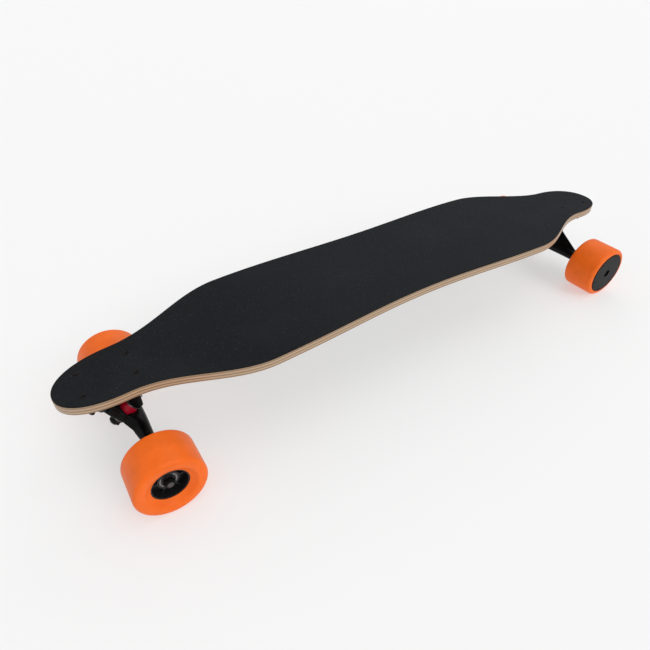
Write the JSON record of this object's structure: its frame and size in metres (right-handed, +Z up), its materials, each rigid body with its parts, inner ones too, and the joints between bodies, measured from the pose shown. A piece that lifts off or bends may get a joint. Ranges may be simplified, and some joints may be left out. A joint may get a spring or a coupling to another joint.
{
  "type": "electric skateboard",
  "caption": "Electric longboard with a cambered laminated deck, tilting spring-bushed trucks, free front wheels, hub-motor rear wheels and battery and control cases below.",
  "frame": {"origin": "on the ground, below the middle of the wheelbase", "axes": "+X to the nose (free wheels), +Y to the left, +Z up"},
  "size_m": [0.986, 0.277, 0.144],
  "materials": {
    "maple_laminate": "satin lacquer over bare plies",
    "grip_sheet": "abrasive grit",
    "riser_rubber": "matte",
    "black_fastener": "black oxide",
    "zinc_steel": "bright zinc",
    "bearing_steel": "polished",
    "axle_steel": "turned",
    "truck_black": "satin black coat on cast aluminium",
    "pivot_urethane": "matte",
    "bushing_red": "cast urethane",
    "tyre_orange": "cast urethane",
    "core_black": "moulded",
    "rotor_black": "black anodised",
    "motor_grey": "grey anodised",
    "magnet_nickel": "nickel plated",
    "stator_steel": "laminated",
    "winding_copper": "enamelled copper wire",
    "lead_black": "matte jacket",
    "case_black": "fine moulded texture",
    "gasket_rubber": "matte",
    "cell_wrap": "shrink wrap",
    "circuit_green": "solder mask",
    "sink_aluminium": "bead blasted",
    "socket_black": "moulded",
    "light_lens": "translucent"
  },
  "bodies": {
    "board": {"deck": "maple_laminate", "grip_tape": "grip_sheet", "riser_pads": "riser_rubber", "truck_bolts": "black_fastener", "truck_nuts": "black_fastener", "front_baseplate": "truck_black", "rear_baseplate": "truck_black", "kingpins": "zinc_steel", "kingpin_nuts": "black_fastener", "bushing_washers": "zinc_steel", "pivot_cups": "pivot_urethane", "front_board_bushing": "bushing_red", "front_road_bushing": "bushing_red", "rear_board_bushing": "bushing_red", "rear_road_bushing": "bushing_red", "motor_leads": "lead_black", "case_glands": "lead_black", "battery_case": "case_black", "battery_gasket": "gasket_rubber", "battery_cells": "cell_wrap", "battery_board": "circuit_green", "control_case": "case_black", "control_gasket": "gasket_rubber", "control_board": "circuit_green", "heat_sink": "sink_aluminium", "case_screws": "black_fastener", "power_link": "lead_black", "charge_socket": "socket_black", "status_lights": "light_lens"},
    "front_hanger": {"front_hanger": "truck_black", "front_axle": "axle_steel", "front_axle_nuts": "black_fastener", "front_speed_rings": "zinc_steel"},
    "rear_hanger": {"rear_hanger": "truck_black", "motor_shafts": "axle_steel", "shaft_clips": "black_fastener", "stator_cores": "stator_steel", "stator_windings": "winding_copper", "hanger_glands": "lead_black"},
    "power_button": {"power_button": "case_black"},
    "front_left_wheel": {"front_left_tyre": "tyre_orange", "front_left_core": "core_black", "front_left_bearings": "bearing_steel", "front_left_spacer": "zinc_steel"},
    "front_right_wheel": {"front_right_tyre": "tyre_orange", "front_right_core": "core_black", "front_right_bearings": "bearing_steel", "front_right_spacer": "zinc_steel"},
    "rear_left_wheel": {"rear_left_tyre": "tyre_orange", "rear_left_rotor": "rotor_black", "rear_left_magnets": "magnet_nickel", "rear_left_cover": "motor_grey", "rear_left_screws": "black_fastener", "rear_left_bearings": "bearing_steel"},
    "rear_right_wheel": {"rear_right_tyre": "tyre_orange", "rear_right_rotor": "rotor_black", "rear_right_magnets": "magnet_nickel", "rear_right_cover": "motor_grey", "rear_right_screws": "black_fastener", "rear_right_bearings": "bearing_steel"}
  },
  "joints": [
    {"name": "front_steer", "type": "hinge", "parent": "board", "child": "front_hanger", "pos_m": [0.41512, 0, 0.04142], "axis": [0.5736, 0, 0.8192], "range_deg": [-15, 15], "stiffness_Nm_per_rad": 60, "deforming": ["front_board_bushing", "front_road_bushing"]},
    {"name": "rear_steer", "type": "hinge", "parent": "board", "child": "rear_hanger", "pos_m": [-0.41512, 0, 0.04142], "axis": [-0.5736, 0, 0.8192], "range_deg": [-15, 15], "stiffness_Nm_per_rad": 60, "deforming": ["rear_board_bushing", "rear_road_bushing", "motor_leads"]},
    {"name": "front_left_spin", "type": "hinge", "parent": "front_hanger", "child": "front_left_wheel", "pos_m": [0.41, 0.111, 0.045], "axis": [0, 1, 0], "continuous": true},
    {"name": "front_right_spin", "type": "hinge", "parent": "front_hanger", "child": "front_right_wheel", "pos_m": [0.41, -0.111, 0.045], "axis": [0, 1, 0], "continuous": true},
    {"name": "rear_left_spin", "type": "hinge", "parent": "rear_hanger", "child": "rear_left_wheel", "pos_m": [-0.41, 0.108, 0.045], "axis": [0, 1, 0], "continuous": true},
    {"name": "rear_right_spin", "type": "hinge", "parent": "rear_hanger", "child": "rear_right_wheel", "pos_m": [-0.41, -0.108, 0.045], "axis": [0, 1, 0], "continuous": true},
    {"name": "power_button_press", "type": "slide", "parent": "board", "child": "power_button", "axis": [0, -1, 0], "range_m": [0, 0.0015], "stiffness_N_per_m": 900, "springref_m": -0.0008}
  ]
}
